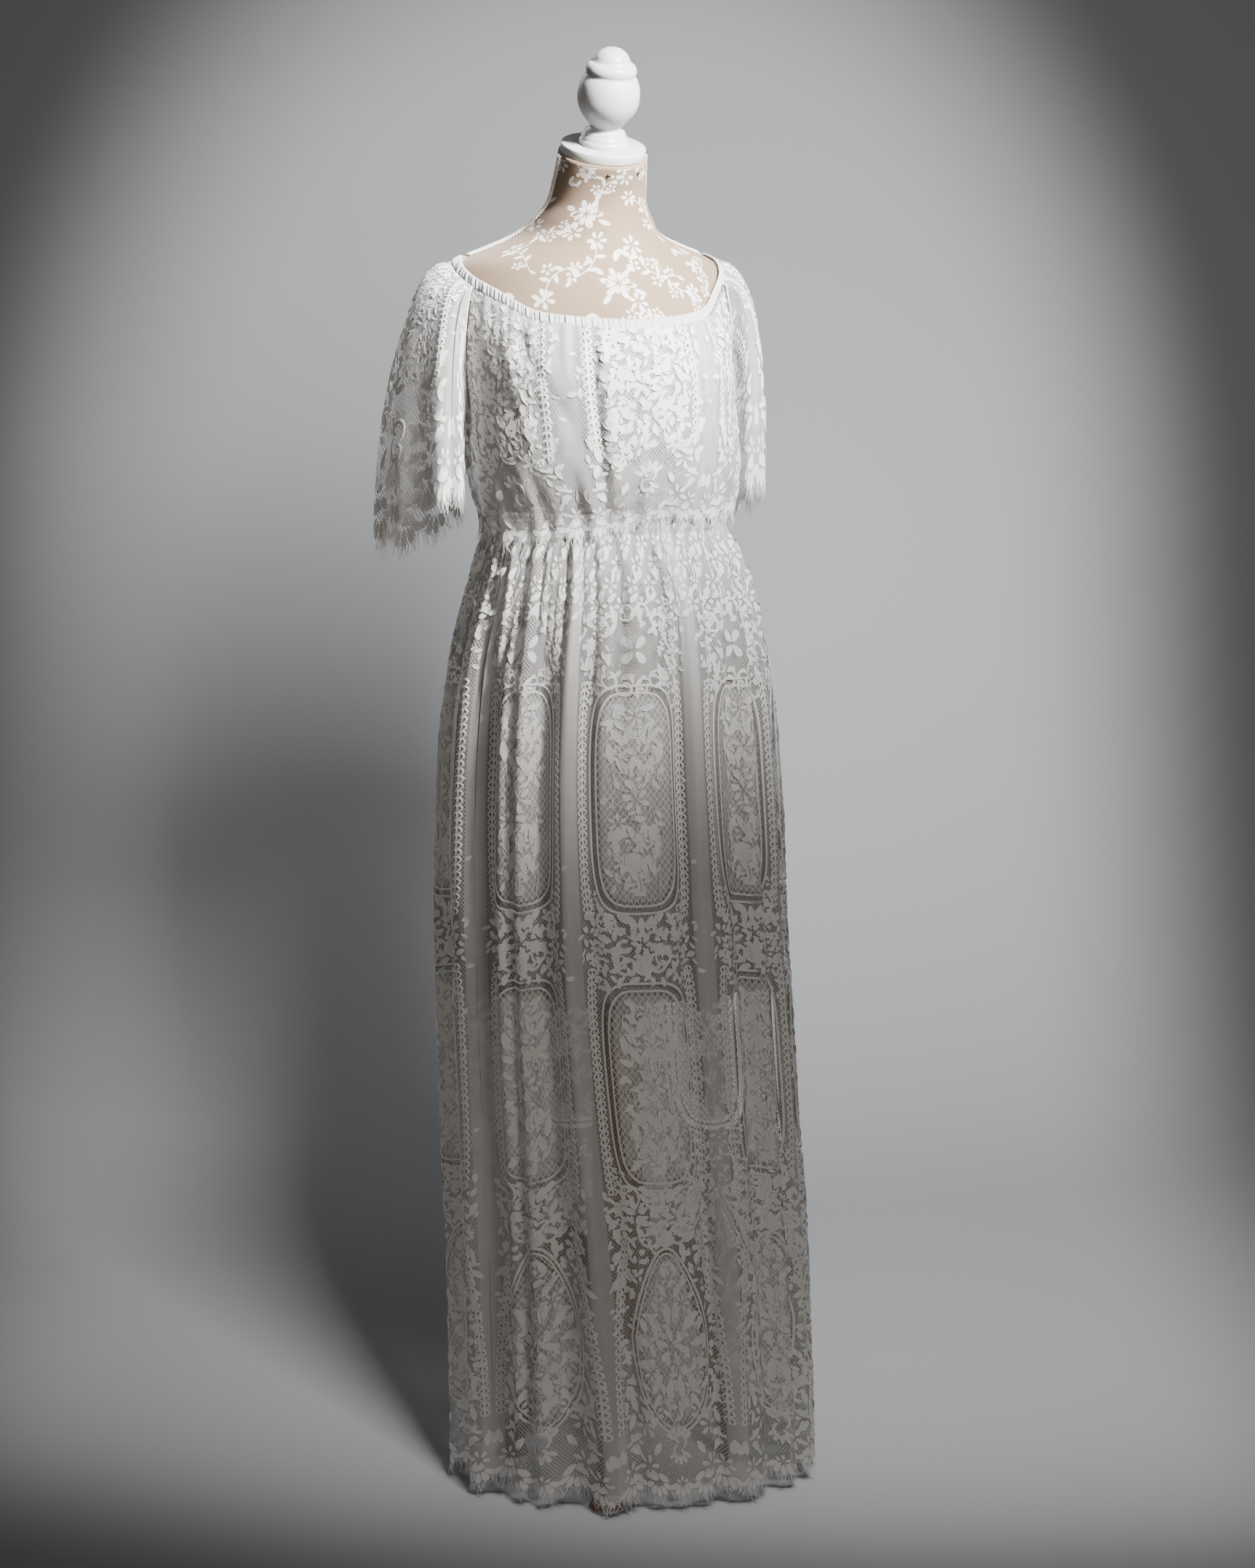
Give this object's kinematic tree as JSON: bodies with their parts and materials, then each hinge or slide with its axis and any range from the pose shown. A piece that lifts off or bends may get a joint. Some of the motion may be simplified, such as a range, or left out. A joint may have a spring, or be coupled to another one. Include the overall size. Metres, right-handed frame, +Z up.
{
  "type": "wedding dress on dress form",
  "caption": "Floor-length lace wedding dress with a wide neckline and flared sleeves, standing on a limbless dress form with a turned finial and a wooden tripod.",
  "frame": {"origin": "on the floor, below the middle of the whole object's width and depth", "axes": "+Z up, -Y the way the front of the dress faces, +X to the wearer's left"},
  "size_m": [0.4904, 0.4204, 1.6696],
  "materials": {
    "form_linen": "matt woven linen cover with a pale floral print",
    "white_paint": "white painted wood, satin",
    "stand_wood": "stained wood, satin varnish",
    "braid_cotton": "cotton gimp braid",
    "tack_steel": "dark steel tack heads",
    "lace_cotton": "white machine lace, matt",
    "lining_cotton": "plain white woven lining, matt"
  },
  "bodies": {
    "root": {"form_torso": "form_linen", "neck_cap": "white_paint", "finial": "white_paint", "tack_1": "tack_steel", "tack_2": "tack_steel", "braid_right": "braid_cotton", "braid_left": "braid_cotton", "stand_post": "stand_wood", "stand_hub": "stand_wood", "stand_leg_1": "stand_wood", "stand_leg_2": "stand_wood", "stand_leg_3": "stand_wood", "neck_casing": "lining_cotton", "waist_casing": "lining_cotton", "lining_bodice": "lining_cotton", "lining_skirt": "lining_cotton", "bodice_front": "lace_cotton", "bodice_back": "lace_cotton", "skirt_front": "lace_cotton", "skirt_back": "lace_cotton", "sleeve_left_front": "lace_cotton", "sleeve_left_back": "lace_cotton", "sleeve_right_front": "lace_cotton", "sleeve_right_back": "lace_cotton", "hem_fringe_front": "lace_cotton", "hem_fringe_back": "lace_cotton", "waist_fringe_front": "lace_cotton", "waist_fringe_back": "lace_cotton", "sleeve_fringe_left_front": "lace_cotton", "sleeve_fringe_left_back": "lace_cotton", "sleeve_fringe_right_front": "lace_cotton", "sleeve_fringe_right_back": "lace_cotton"}
  },
  "joints": []
}
